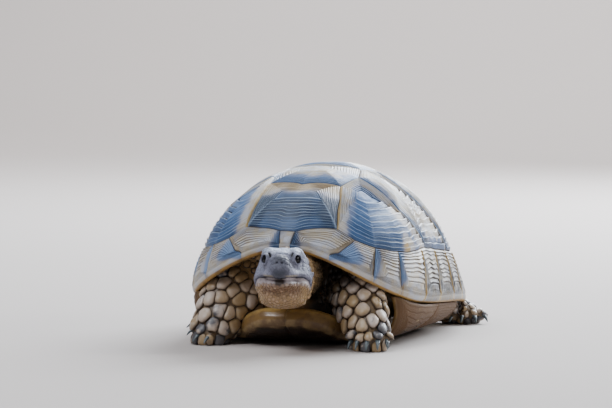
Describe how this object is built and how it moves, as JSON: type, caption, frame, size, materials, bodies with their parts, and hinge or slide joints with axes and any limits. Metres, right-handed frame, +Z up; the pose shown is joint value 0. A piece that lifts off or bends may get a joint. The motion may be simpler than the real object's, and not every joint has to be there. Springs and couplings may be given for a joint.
{
  "type": "tortoise",
  "caption": "Life-size still model of a spur-thighed tortoise standing with its head out, domed shell of separate horny plates over a low body.",
  "frame": {"origin": "middle of the bounding box's base, on the floor under the shell", "axes": "+Z up; the animal faces -Y; its left side is +X"},
  "size_m": [0.145, 0.2184, 0.0933],
  "materials": {
    "shell_horn": "satin",
    "plastron_horn": "satin",
    "skin": "matte",
    "head_skin": "satin",
    "claw": "satin",
    "eye": "gloss"
  },
  "bodies": {
    "root": {"nuchal": "shell_horn", "vertebral_1": "shell_horn", "vertebral_2": "shell_horn", "vertebral_3": "shell_horn", "vertebral_4": "shell_horn", "vertebral_5": "shell_horn", "supracaudal": "shell_horn", "costal_left_1": "shell_horn", "costal_left_2": "shell_horn", "costal_left_3": "shell_horn", "costal_left_4": "shell_horn", "marginal_left_1": "shell_horn", "marginal_left_2": "shell_horn", "marginal_left_3": "shell_horn", "marginal_left_4": "shell_horn", "marginal_left_5": "shell_horn", "marginal_left_6": "shell_horn", "marginal_left_7": "shell_horn", "marginal_left_8": "shell_horn", "marginal_left_9": "shell_horn", "marginal_left_10": "shell_horn", "marginal_left_11": "shell_horn", "costal_right_1": "shell_horn", "costal_right_2": "shell_horn", "costal_right_3": "shell_horn", "costal_right_4": "shell_horn", "marginal_right_1": "shell_horn", "marginal_right_2": "shell_horn", "marginal_right_3": "shell_horn", "marginal_right_4": "shell_horn", "marginal_right_5": "shell_horn", "marginal_right_6": "shell_horn", "marginal_right_7": "shell_horn", "marginal_right_8": "shell_horn", "marginal_right_9": "shell_horn", "marginal_right_10": "shell_horn", "marginal_right_11": "shell_horn", "gular_left": "plastron_horn", "humeral_left": "plastron_horn", "pectoral_left": "plastron_horn", "abdominal_left": "plastron_horn", "femoral_left": "plastron_horn", "anal_left": "plastron_horn", "gular_right": "plastron_horn", "humeral_right": "plastron_horn", "pectoral_right": "plastron_horn", "abdominal_right": "plastron_horn", "femoral_right": "plastron_horn", "anal_right": "plastron_horn", "trunk": "skin", "foreleg_left": "skin", "foreleg_right": "skin", "hindleg_left": "skin", "hindleg_right": "skin", "head": "head_skin", "lower_jaw": "head_skin", "eye_left": "eye", "eye_right": "eye", "neck": "skin", "tail": "skin"}
  },
  "joints": []
}
